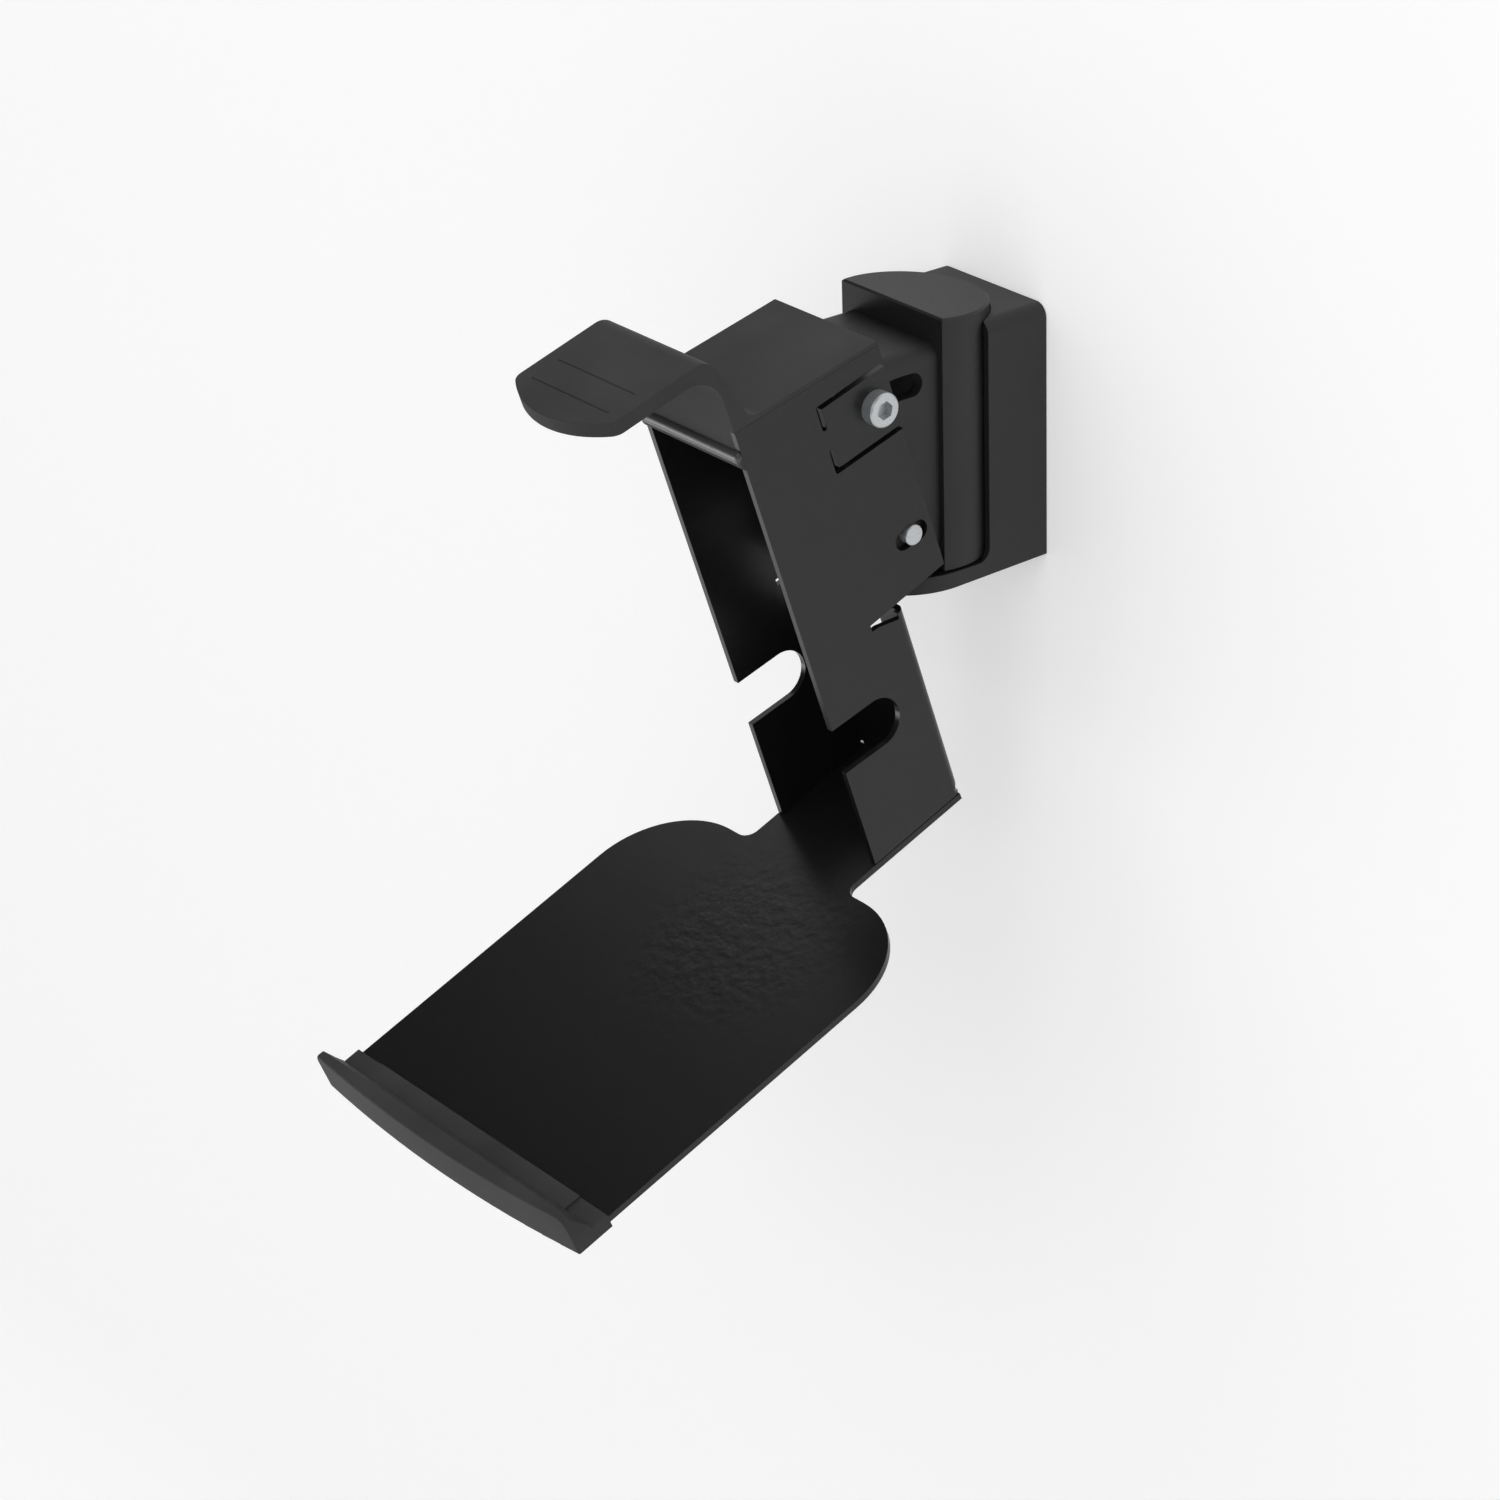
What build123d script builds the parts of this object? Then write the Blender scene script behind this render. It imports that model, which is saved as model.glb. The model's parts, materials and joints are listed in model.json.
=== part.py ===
from build123d import *
import math
import os

# Speaker wall bracket. A drum swivels in a wall housing and carries an arm. A folded
# steel plate with a tray tilts on the arm's pin and is clamped by a screw on each side.
# Millimetres. The origin is on the wall, halfway up the housing: X runs to the right
# facing the wall, Y into the wall and Z up. The bracket is modelled tilted down.

# Fits and gaps
running_gap = 0.3  # between pieces that move past each other
seat_gap = 0.1  # between a piece and the pocket that it sits in
shaft_gap = 0.05  # around a shaft that turns or slides
through = 1.0  # how far a cut runs past the face that it opens

# Wall housing
housing_width = 46.2
housing_height = 75.7
housing_depth = 21.3
housing_top_round = 4.0
shelf_thickness = 4.0
shelf_round_centre = 33.2  # of the shelf's round front, from the wall
shelf_corner = 4.0  # between the housing's front and the shelf
screw_access_radius = 6.0
hollow_gap = 0.3  # around the drum

# Swivel drum
axis_from_wall = 31.0
drum_radius = 22.8
drum_height = 75.9
drum_flat_ahead = 6.0  # from the swivel axis to the flat front
drum_top_fall = 2.0  # of the drum's top towards the wall
drum_edge = 0.6
swivel_reach = 30.0  # degrees to each side

# Steel plate behind the housing, with two ears that hold the swivel bolt
wall_sheet = 3.0
wall_plate_width = 35.0
wall_plate_margin = 5.0  # below the housing's top
ear_half_width = 9.0
middle_ear_rise = 42.85  # from the housing's bottom to the underside of the ear
wall_hole_radius = 2.75
wall_hole_spacing = 44.0
wall_hole_centre_rise = 41.85
plate_screw_size = 4.0
plate_screw_spread = 26.0
plate_screw_cover = 2.3  # of housing between the screw's tip and the hollow

# Swivel bolt
bolt_size = 8.0
bolt_head_radius = 7.0
bolt_head_height = 4.4
bolt_washer_radius = 8.0
bolt_washer_thickness = 1.6
bolt_past_ear = 2.5

# Tilt arm
arm_side_wall = 4.0
arm_top_wall = 3.0
arm_rear_wall = 3.0
arm_top_below_drum = 8.0
arm_top_round = 4.0
arm_boss_radius = 9.0
arm_nose_radius = 10.0
arm_nose_ahead = 12.0  # centre of the nose's rounding, ahead of the pin
arm_pad_wall = 2.5
arm_screw_size = 5.0
arm_screw_head_radius = 4.25
arm_screw_head_height = 5.0
arm_screw_length = 13.0
lower_arm_screw_x = 11.5
lower_arm_screw_drop = 8.2  # below the pad
upper_arm_screw_drop = 10.35  # below the arm's top

# Tilt
tilt_down = 17.5  # degrees of the bracket below level
tilt_up_reach = 19.5  # degrees that it tilts up from there
pin_size = 6.0
pin_proud = 0.9
pin_from_front = 44.2  # in the bracket, from the cheeks' front edge
pin_drop = 62.6  # in the bracket, below the cheeks' top
pin_ahead_of_drum = 11.97  # from the drum's flat front
pin_below_drum_top = 60.65

# Folded plate
sheet = 2.0
channel_width = 45.0
channel_depth = 34.9
bend_radius = 3.0  # outside
cheek_height = 151.8
cheek_top_fall = 2.8
web_top_drop = 82.3  # below the cheeks' top
web_gap_width = 22.0
web_gap_depth = 19.5
web_gap_radius = 3.0
ear_clearance = 0.63  # between the ears' lower rear corners and the drum's front
ear_below_pin = 14.9
ear_underside_fall = 2.7  # from the ears' rear to the slit's tip
slit_tip_depth = 22.3
slit_tip_above_web = 0.6
slit_fall = 2.5  # from the slit's tip to the bend
seam_gap = 0.3
corner_relief = 4.0
corner_relief_depth = 2.5
neck_short = 0.9  # of the web's rear face
notch_radius = 7.65
notch_height = 41.55
notch_depth = 22.9
pin_slot_length = 11.6
pin_slot_ahead = 0.4  # centre of the slot, ahead of the pin
tab_above_clamp = 10.4
tab_below_clamp = 10.5
tab_front = 27.3
tab_neck = 7.7
tab_slit = 1.6

# Clamp screws, one on each side
clamp_size = 6.0
clamp_head_radius = 5.0
clamp_head_height = 4.1
clamp_behind_pin = 0.7
clamp_drop = 19.4  # in the bracket, below the cheeks' top
clamp_slot_play = 0.5  # on each side of the screw
clamp_slot_margin = 0.6  # degrees that the slot runs past the tilt's upper end
clamp_slot_lower_margin = 2.4
clamp_washer_radius = 6.0
clamp_washer_thickness = 1.6
clamp_nut_width = 10.0
clamp_nut_thickness = 5.0
clamp_past_nut = 0.6

# Tray
tray_pitch = 4.5  # degrees between the tray and the channel's foot
tray_width = 120.0
tray_front = 145.8
tray_back = 12.6
tray_shoulder = 8.8  # between the neck and the rounded rear corner
neck_fillet = 4.0

# Front lip
lip_overhang = 0.6
lip_pad_depth = 10.5  # behind the tray's front edge
lip_foot_depth = 4.8
lip_crest_depth = 0.3
lip_front_wall = 1.9  # ahead of the tray's front edge, at the ends
lip_bulge = 3.0
lip_height = 11.0
lip_leaf = 1.2
lip_strip_rise = 2.0
lip_end_rise = 1.3
lip_strip_width = 97.0
lip_edge = 0.8

# Top cap with its thumb rest
cap_rim = 1.2
cap_plug_drop = 5.3
cap_plug_from_rear = 4.4
cap_wall = 2.0
cap_apron_depth = 2.5
bead_drop = 7.8
bead_height = 4.5
bead_proud = 1.1
thumb_rise = 25.0  # above the cheeks' top
thumb_thickness = 4.5
thumb_reach = 41.3
thumb_bow = 7.9
thumb_corner_radius = 4.0
riser_foot = 6.2
riser_foot_radius = 4.6
riser_lean = 6.65
riser_crown_radius = 6.0
thumb_root_radius = 10.0
thumb_line_width = 0.5
thumb_line_depth = 0.3
thumb_line_length = 34.6
thumb_line_places = (22.0, 31.4)

# Heights and depths on the wall side
housing_bottom = -housing_height / 2
housing_top = housing_height / 2
shelf_top = housing_bottom + shelf_thickness
drum_bottom = shelf_top + running_gap
drum_top = drum_bottom + drum_height
drum_front = -axis_from_wall - drum_flat_ahead
axis_spot = (0, -axis_from_wall)
hollow_radius = drum_radius + hollow_gap
middle_ear_bottom = housing_bottom + middle_ear_rise
middle_ear_top = middle_ear_bottom + wall_sheet
bolt_tip = middle_ear_top + bolt_past_ear
bolt_hole_radius = bolt_size / 2 + shaft_gap
wall_plate_top = housing_top - wall_plate_margin
wall_hole_centre = housing_bottom + wall_hole_centre_rise
wall_hole_heights = [
    wall_hole_centre - wall_hole_spacing / 2,
    wall_hole_centre + wall_hole_spacing / 2,
]
hollow_at_screws = axis_from_wall - math.sqrt(hollow_radius**2 - (plate_screw_spread / 2) ** 2)
plate_screw_length = hollow_at_screws - plate_screw_cover

# The arm's pad, which houses the front of the middle ear
pad_half_width = ear_half_width + running_gap + arm_pad_wall
pad_depth = pad_half_width - drum_flat_ahead
pad_bottom = middle_ear_bottom - running_gap - arm_pad_wall
pad_top = middle_ear_top + running_gap + arm_pad_wall

# The pin, seen from the side as (depth, height)
pin_y = drum_front - pin_ahead_of_drum
pin_z = drum_top - pin_below_drum_top
arm_top = drum_top - arm_top_below_drum
arm_half_width = channel_width / 2 - sheet - running_gap
arm_inner_half_width = arm_half_width - arm_side_wall

# Depths and heights in the folded plate, from the cheeks' front edge and from the tray
tilt = math.radians(tilt_down)
pitch = math.radians(tray_pitch)
pin_height = cheek_height - pin_drop
ear_room = pin_ahead_of_drum - ear_clearance - ear_below_pin * math.sin(tilt)
cheek_depth = pin_from_front + ear_room / math.cos(tilt)
web_top = cheek_height - web_top_drop
slit_tip_height = web_top + slit_tip_above_web
ear_underside_rear = pin_height - ear_below_pin
ear_underside_front = ear_underside_rear - ear_underside_fall
clamp_from_front = pin_from_front + clamp_behind_pin
clamp_height = cheek_height - clamp_drop
tab_top = clamp_height + tab_above_clamp
tab_bottom = clamp_height - tab_below_clamp
tray_slope = math.tan(pitch)
tray_corner_radius = (tray_width - channel_width) / 2 - tray_shoulder
cap_plug_underside = cheek_height - cap_plug_drop
cap_plug_rear = cheek_depth - cap_plug_from_rear
bead_top = cheek_height - bead_drop
bead_bottom = bead_top - bead_height
thumb_top = cheek_height + thumb_rise
thumb_underside = thumb_top - thumb_thickness
lip_pad_rear = tray_front - lip_pad_depth
lip_wall_foot = tray_front - lip_foot_depth
lip_wall_crest = tray_front - lip_crest_depth
lip_front = tray_front + lip_front_wall

# Frame of the folded plate: its origin is where the cheeks' front edge meets the tray
bracket = Plane(
    origin=(
        0,
        pin_y - pin_from_front * math.cos(tilt) + pin_height * math.sin(tilt),
        pin_z - pin_from_front * math.sin(tilt) - pin_height * math.cos(tilt),
    ),
    x_dir=(1, 0, 0),
    z_dir=(0, -math.sin(tilt), math.cos(tilt)),
)
tray = Plane(
    origin=bracket.origin,
    x_dir=(1, 0, 0),
    z_dir=(0, -math.sin(tilt + pitch), math.cos(tilt + pitch)),
)


def side_of(frame, x=0.0):
    """Plane across a frame at x: its first axis runs back in the frame, its second up."""
    return Plane(frame.from_local_coords((x, 0, 0)), x_dir=frame.y_dir, z_dir=frame.x_dir)


def socket_screw(seat, size, head_radius, head_height, length):
    """Socket head screw whose head stands on the seat plane and whose shank runs behind it."""
    outward = Axis(seat.origin, seat.z_dir)
    with BuildPart() as screw:
        with BuildSketch(seat):
            Circle(head_radius)
        extrude(amount=head_height)
        chamfer(screw.edges().group_by(outward)[-1], head_height * 0.1)
        with BuildSketch(seat.offset(head_height)):
            RegularPolygon(size * 0.4, 6, major_radius=False)
        extrude(amount=-head_height * 0.6, mode=Mode.SUBTRACT)
        with BuildSketch(seat):
            Circle(size / 2)
        extrude(amount=-length)
        chamfer(screw.edges().group_by(outward)[0], size * 0.08)
    return screw.part


# Wall plate: a flat plate with a lower ear flush under the shelf and a middle ear
with BuildPart() as wall_plate:
    with BuildSketch(Plane.XZ):
        with Locations((0, (housing_bottom + wall_plate_top) / 2)):
            Rectangle(wall_plate_width, wall_plate_top - housing_bottom)
        with Locations(*[(0, height) for height in wall_hole_heights]):
            Circle(wall_hole_radius, mode=Mode.SUBTRACT)
    extrude(amount=wall_sheet)
    for ear_bottom in (housing_bottom, middle_ear_bottom):
        with BuildSketch(Plane.XY.offset(ear_bottom)):
            with Locations((0, -axis_from_wall / 2)):
                Rectangle(2 * ear_half_width, axis_from_wall)
            with Locations(axis_spot):
                Circle(ear_half_width)
                Circle(bolt_size / 2, mode=Mode.SUBTRACT)
        extrude(amount=wall_sheet)
    for side in (-1, 1):
        screw_seat = Plane(
            origin=(side * plate_screw_spread / 2, 0, wall_hole_centre),
            x_dir=(1, 0, 0),
            z_dir=(0, 1, 0),
        )
        with Locations(screw_seat):
            CounterSinkHole(plate_screw_size / 2, plate_screw_size, wall_sheet)


# Wall housing: back block with a hollow for the drum, and a round shelf under it
with BuildPart() as wall_housing:
    with BuildSketch(Plane.YZ) as housing_profile:
        with BuildLine():
            Polyline(
                (0, housing_bottom),
                (0, housing_top),
                (-housing_depth, housing_top),
                (-housing_depth, shelf_top),
                (-shelf_round_centre, shelf_top),
                (-shelf_round_centre, housing_bottom),
                close=True,
            )
        make_face()
        inner_corner = housing_profile.vertices().sort_by_distance((-housing_depth, shelf_top))[0]
        fillet(inner_corner, shelf_corner)
    extrude(amount=housing_width / 2, both=True)
    side_edges = wall_housing.edges().filter_by(Axis.Y).group_by(Axis.Z)[-1]
    fillet(side_edges, housing_top_round)
    with BuildSketch(Plane.XY.offset(housing_bottom)):
        with Locations((0, -shelf_round_centre)):
            Circle(housing_width / 2)
    extrude(amount=shelf_thickness)
    with BuildSketch(Plane.XY.offset(shelf_top)):
        with Locations(axis_spot):
            Circle(hollow_radius)
    extrude(amount=housing_height, mode=Mode.SUBTRACT)
    with BuildSketch(Plane.XZ):
        with Locations((0, (housing_bottom + wall_plate_top) / 2)):
            Rectangle(wall_plate_width + 2 * seat_gap, wall_plate_top - housing_bottom + 2 * seat_gap)
    extrude(amount=wall_sheet, mode=Mode.SUBTRACT)
    for ear_bottom in (housing_bottom, middle_ear_bottom):
        with BuildSketch(Plane.XY.offset(ear_bottom - seat_gap)):
            with Locations((0, -axis_from_wall / 2)):
                Rectangle(2 * (ear_half_width + seat_gap), axis_from_wall)
            with Locations(axis_spot):
                Circle(ear_half_width + seat_gap)
        extrude(amount=wall_sheet + 2 * seat_gap, mode=Mode.SUBTRACT)
    with BuildSketch(Plane.XY.offset(shelf_top)):
        with Locations(axis_spot):
            Circle(bolt_hole_radius)
    extrude(amount=-shelf_thickness, mode=Mode.SUBTRACT)
    with BuildSketch(Plane.XZ):
        with Locations(*[(0, height) for height in wall_hole_heights]):
            Circle(screw_access_radius)
    extrude(amount=axis_from_wall, mode=Mode.SUBTRACT)
    for side in (-1, 1):
        screw_seat = Plane(
            origin=(side * plate_screw_spread / 2, 0, wall_hole_centre),
            x_dir=(1, 0, 0),
            z_dir=(0, 1, 0),
        )
        with Locations(screw_seat):
            Hole(plate_screw_size / 2 + shaft_gap, plate_screw_length + through)


# Screws that hold the wall plate in the housing, heads flush in the plate
plate_screws = []
for side in (-1, 1):
    screw_seat = Plane(
        origin=(side * plate_screw_spread / 2, 0, wall_hole_centre),
        x_dir=(1, 0, 0),
        z_dir=(0, 1, 0),
    )
    with BuildPart() as plate_screw:
        with BuildSketch(screw_seat):
            Circle(plate_screw_size / 2)
        extrude(amount=-plate_screw_length)
        with BuildSketch(screw_seat):
            Circle(plate_screw_size - 2 * shaft_gap)
        extrude(amount=-(plate_screw_size / 2 - 2 * shaft_gap), taper=45)
        with BuildSketch(screw_seat):
            RegularPolygon(plate_screw_size * 0.3, 6, major_radius=False)
        extrude(amount=-plate_screw_size * 0.35, mode=Mode.SUBTRACT)
    plate_screws.append(plate_screw.part)


# Swivel bolt, from below through the lower ear and the drum into the middle ear
bolt_seat = Plane(
    origin=(0, -axis_from_wall, housing_bottom - bolt_washer_thickness),
    x_dir=(1, 0, 0),
    z_dir=(0, 0, -1),
)
swivel_bolt = socket_screw(
    bolt_seat,
    bolt_size,
    bolt_head_radius,
    bolt_head_height,
    bolt_tip - housing_bottom + bolt_washer_thickness,
)

with BuildPart() as swivel_washer:
    with BuildSketch(bolt_seat):
        Circle(bolt_washer_radius)
        Circle(bolt_hole_radius, mode=Mode.SUBTRACT)
    extrude(amount=-bolt_washer_thickness)


# Room for the bolt, and for the middle ear, which stays as the drum turns round it
with BuildPart() as swivel_room:
    with BuildSketch(Plane.XY.offset(drum_bottom - through)):
        with Locations(axis_spot):
            Circle(bolt_hole_radius)
    extrude(amount=bolt_tip + 2 * through - drum_bottom)
    with BuildSketch(Plane.XY.offset(middle_ear_bottom - running_gap)):
        with Locations(axis_spot):
            Circle(ear_half_width + running_gap)
            with PolarLocations(2 * drum_radius, 2, 90 - swivel_reach, 2 * swivel_reach, endpoint=True):
                Circle(ear_half_width + running_gap)
        make_hull()
    extrude(amount=wall_sheet + 2 * running_gap)


arm_screw_spots = {
    "arm_screw_left": (-lower_arm_screw_x, pad_bottom - lower_arm_screw_drop),
    "arm_screw_right": (lower_arm_screw_x, pad_bottom - lower_arm_screw_drop),
    "arm_screw_upper": (0, arm_top - upper_arm_screw_drop),
}


# Swivel drum: a tall D in plan, with its flat front against the arm
with BuildPart() as swivel_drum:
    with BuildSketch(Plane.XY.offset(drum_bottom)):
        with Locations(axis_spot):
            Circle(drum_radius)
        with Locations((0, drum_front)):
            Rectangle(3 * drum_radius, 2 * drum_radius, align=(Align.CENTER, Align.MAX), mode=Mode.SUBTRACT)
    extrude(amount=drum_height)
    with BuildSketch(Plane.YZ):
        with BuildLine():
            Polyline(
                (drum_front, drum_top),
                (drum_radius - axis_from_wall, drum_top - drum_top_fall),
                (drum_radius - axis_from_wall, drum_top + through),
                (drum_front, drum_top + through),
                close=True,
            )
        make_face()
    extrude(amount=2 * drum_radius, both=True, mode=Mode.SUBTRACT)
    ends = swivel_drum.faces().sort_by(Axis.Z)
    chamfer(ends[0].edges() + ends[-1].edges(), drum_edge)
    add(swivel_room.part, mode=Mode.SUBTRACT)
    with BuildSketch(Plane.XZ.offset(-drum_front)):
        with Locations(*arm_screw_spots.values()):
            Circle(arm_screw_size / 2)
    extrude(amount=-(arm_screw_length - arm_rear_wall + through), mode=Mode.SUBTRACT)


# Tilt arm: side walls, a top and a rear wall, open to the front and below
clamp_radius = math.hypot(clamp_behind_pin, clamp_height - pin_height)
clamp_lean = math.degrees(math.atan2(clamp_behind_pin, clamp_height - pin_height))
slot_rear_lean = clamp_lean - tilt_down + tilt_up_reach + clamp_slot_margin
slot_front_lean = clamp_lean - tilt_down - clamp_slot_lower_margin
arm_foot = pin_z - arm_boss_radius

with BuildPart() as tilt_arm:
    with BuildSketch(Plane.YZ):
        with Locations((pin_y, pin_z)):
            Circle(arm_boss_radius)
        with Locations((pin_y - arm_nose_ahead, arm_top - arm_nose_radius)):
            Circle(arm_nose_radius)
        with Locations((drum_front, arm_foot)):
            Rectangle(pin_ahead_of_drum, arm_top - arm_foot, align=(Align.MAX, Align.MIN))
        make_hull()
    extrude(amount=arm_half_width, both=True)
    top_edges = tilt_arm.edges().filter_by(Axis.Y).group_by(Axis.Z)[-1]
    fillet(top_edges, arm_top_round)
    with BuildSketch(Plane.YZ):
        with Locations((drum_front - arm_rear_wall, arm_top - arm_top_wall)):
            Rectangle(3 * arm_nose_radius + arm_nose_ahead, arm_top - arm_foot, align=(Align.MAX, Align.MAX))
    extrude(amount=arm_inner_half_width, both=True, mode=Mode.SUBTRACT)
    with BuildSketch(Plane.YZ):
        with Locations((drum_front, pad_bottom)):
            Rectangle(pad_depth, pad_top - pad_bottom, align=(Align.MAX, Align.MIN))
    extrude(amount=pad_half_width, both=True)
    add(swivel_room.part, mode=Mode.SUBTRACT)
    with BuildSketch(Plane.YZ):
        with BuildLine():
            slot_line = CenterArc(
                (pin_y, pin_z), clamp_radius, 90 - slot_rear_lean, slot_rear_lean - slot_front_lean
            )
        SlotArc(slot_line, clamp_size + 2 * clamp_slot_play)
        with Locations((pin_y, pin_z)):
            Circle(pin_size / 2 + shaft_gap / 2)
    extrude(amount=arm_half_width + through, both=True, mode=Mode.SUBTRACT)
    with BuildSketch(Plane.XZ.offset(-drum_front)):
        with Locations(*arm_screw_spots.values()):
            Circle(arm_screw_size / 2 + shaft_gap)
    extrude(amount=arm_rear_wall + through, mode=Mode.SUBTRACT)


# Screws that hold the arm on the drum
arm_screws = {}
for screw_name, (screw_x, screw_z) in arm_screw_spots.items():
    arm_seat = Plane(
        origin=(screw_x, drum_front - arm_rear_wall, screw_z),
        x_dir=(1, 0, 0),
        z_dir=(0, -1, 0),
    )
    arm_screws[screw_name] = socket_screw(
        arm_seat,
        arm_screw_size - 2 * shaft_gap,
        arm_screw_head_radius,
        arm_screw_head_height,
        arm_screw_length,
    )


# Pivot pin, fast in the arm and free in the cheeks' slots
with BuildPart() as pivot_pin:
    with BuildSketch(Plane.YZ):
        with Locations((pin_y, pin_z)):
            Circle(pin_size / 2)
    extrude(amount=channel_width / 2 + pin_proud, both=True)
    chamfer(pivot_pin.edges().filter_by(GeomType.CIRCLE), pin_size / 24)


# Folded plate: channel and cheeks, the tray, and the fold that joins them
half_channel = channel_width / 2
inner_half_channel = half_channel - sheet
web_front = channel_depth - sheet
bend_start = channel_depth - bend_radius
across = side_of(bracket)
facing = Plane(bracket.origin, x_dir=bracket.x_dir, z_dir=-bracket.y_dir)

with BuildPart() as bracket_plate:
    # Lower channel, bent from the web
    with BuildSketch(bracket) as channel_plan:
        with BuildLine():
            Polyline(
                (-half_channel, 0),
                (-half_channel, channel_depth),
                (half_channel, channel_depth),
                (half_channel, 0),
                (inner_half_channel, 0),
                (inner_half_channel, web_front),
                (-inner_half_channel, web_front),
                (-inner_half_channel, 0),
                close=True,
            )
        make_face()
        corners = channel_plan.vertices().group_by(Axis.Y)
        fillet(corners[-1], bend_radius)
        fillet(corners[-2], bend_radius - sheet)
    extrude(amount=web_top)
    # The cheeks stop a seam's width above the tray, which runs on under the channel
    with BuildSketch(side_of(tray)):
        with Locations((0, seam_gap)):
            Rectangle(4 * channel_depth, 2 * channel_depth, align=(Align.CENTER, Align.MAX))
    extrude(amount=channel_width, both=True, mode=Mode.SUBTRACT)
    # Gap in the top of the web
    with BuildSketch(facing):
        with Locations((0, web_top)):
            RectangleRounded(web_gap_width, 2 * web_gap_depth, web_gap_radius)
    extrude(amount=-channel_depth - through, mode=Mode.SUBTRACT)
    # Upper cheeks, which widen to the rear into ears above the slit
    for side in (-1, 1):
        with BuildSketch(side_of(bracket, side * inner_half_channel)):
            with BuildLine():
                Polyline(
                    (0, notch_height),
                    (0, cheek_height),
                    (cheek_depth, cheek_height - cheek_top_fall),
                    (cheek_depth, ear_underside_rear),
                    (slit_tip_depth, ear_underside_front),
                    (slit_tip_depth, notch_height),
                    close=True,
                )
            make_face()
        extrude(amount=side * sheet)
    # Slit between the cheeks' ears and the bends beside the web
    with BuildSketch(across):
        with BuildLine():
            Polyline(
                (slit_tip_depth, slit_tip_height),
                (bend_start, slit_tip_height - slit_fall),
                (bend_start, web_top + through),
                (slit_tip_depth, ear_underside_front),
                close=True,
            )
        make_face()
    extrude(amount=channel_width, both=True, mode=Mode.SUBTRACT)
    # V reliefs where the channel's rear bends come down to the tray's fold
    relief_foot = tray_slope * channel_depth
    for side in (-1, 1):
        with BuildSketch(side_of(bracket, side * (half_channel - bend_radius))):
            with BuildLine():
                Polyline(
                    (channel_depth - corner_relief_depth, relief_foot + corner_relief / 2),
                    (channel_depth, relief_foot),
                    (channel_depth + through, relief_foot),
                    (channel_depth + through, relief_foot + corner_relief),
                    (channel_depth, relief_foot + corner_relief),
                    close=True,
                )
            make_face()
        extrude(amount=side * (bend_radius + through), mode=Mode.SUBTRACT)
    # Notches, pin slots, clamp holes and the slits that free the clamping tabs
    with BuildSketch(across):
        with Locations((notch_depth - notch_radius, notch_height)):
            Circle(notch_radius)
            Rectangle(notch_depth, 2 * notch_radius, align=(Align.MAX, Align.CENTER))
        with Locations((pin_from_front - pin_slot_ahead, pin_height)):
            SlotOverall(pin_slot_length, pin_size + 2 * shaft_gap)
        with Locations((clamp_from_front, clamp_height)):
            Circle(clamp_size / 2 + running_gap)
        for slit_height, leg_end in (
            (tab_bottom, clamp_height - tab_neck / 2),
            (tab_top, clamp_height + tab_neck / 2),
        ):
            with BuildLine():
                slit_line = Polyline(
                    (cheek_depth + tab_slit, slit_height),
                    (tab_front, slit_height),
                    (tab_front, leg_end),
                )
            SlotArc(slit_line, tab_slit)
    extrude(amount=channel_width, both=True, mode=Mode.SUBTRACT)
    # Fold from the tray's floor up into the web
    with BuildSketch(across) as fold_profile:
        with BuildLine():
            Polyline(
                (0, 0),
                (web_front, tray_slope * web_front),
                (web_front, bend_start),
                (channel_depth, bend_start),
                (channel_depth, tray_slope * channel_depth - sheet / math.cos(pitch)),
                (0, -sheet / math.cos(pitch)),
                close=True,
            )
        make_face()
        inner_corner = fold_profile.vertices().sort_by_distance((web_front, tray_slope * web_front))[0]
        outer_corner = fold_profile.vertices().sort_by_distance((channel_depth, -sheet))[0]
        fillet(inner_corner, bend_radius - sheet)
        fillet(outer_corner, bend_radius)
    extrude(amount=half_channel - bend_radius, both=True)
    # Tray with its neck under the channel
    with BuildSketch(tray) as tray_plan:
        with Locations((0, -tray_front)):
            Rectangle(tray_width, tray_front - tray_back, align=(Align.CENTER, Align.MIN))
        fillet(tray_plan.vertices().group_by(Axis.Y)[-1], tray_corner_radius)
        with Locations((0, channel_depth - neck_short)):
            Rectangle(channel_width, channel_depth - neck_short + tray_front, align=(Align.CENTER, Align.MAX))
        neck_corners = [
            tray_plan.vertices().sort_by_distance((side * half_channel, -tray_back))[0] for side in (-1, 1)
        ]
        fillet(neck_corners, neck_fillet)
    extrude(amount=-sheet)


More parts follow.
